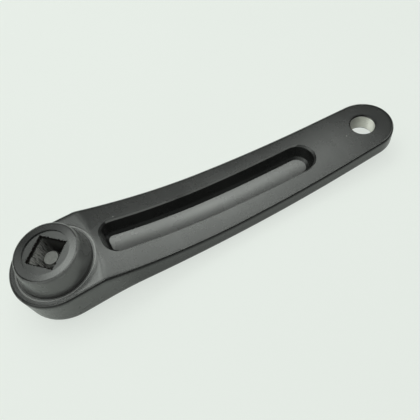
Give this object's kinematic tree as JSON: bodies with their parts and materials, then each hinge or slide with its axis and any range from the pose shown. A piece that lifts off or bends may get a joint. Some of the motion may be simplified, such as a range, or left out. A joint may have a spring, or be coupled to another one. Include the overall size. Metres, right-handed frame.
{
  "type": "bicycle crank arm",
  "caption": "Dished bicycle crank arm with a pocketed inner face, a square taper socket that holds its bolt and washer, and a threaded pedal hole.",
  "frame": {"origin": "on the spindle axis, in the inner face of the boss", "axes": "+Z along the spindle towards the frame of the bicycle, +X from the spindle axis to the pedal axis"},
  "size_m": [0.2073, 0.043, 0.0404],
  "materials": {
    "black_coat": "satin black coat on forged aluminium",
    "bolt_steel": "dull zinc plated steel",
    "washer_steel": "zinc plated steel"
  },
  "bodies": {
    "root": {"crank_arm": "black_coat", "crank_bolt": "bolt_steel", "bolt_washer": "washer_steel"}
  },
  "joints": []
}
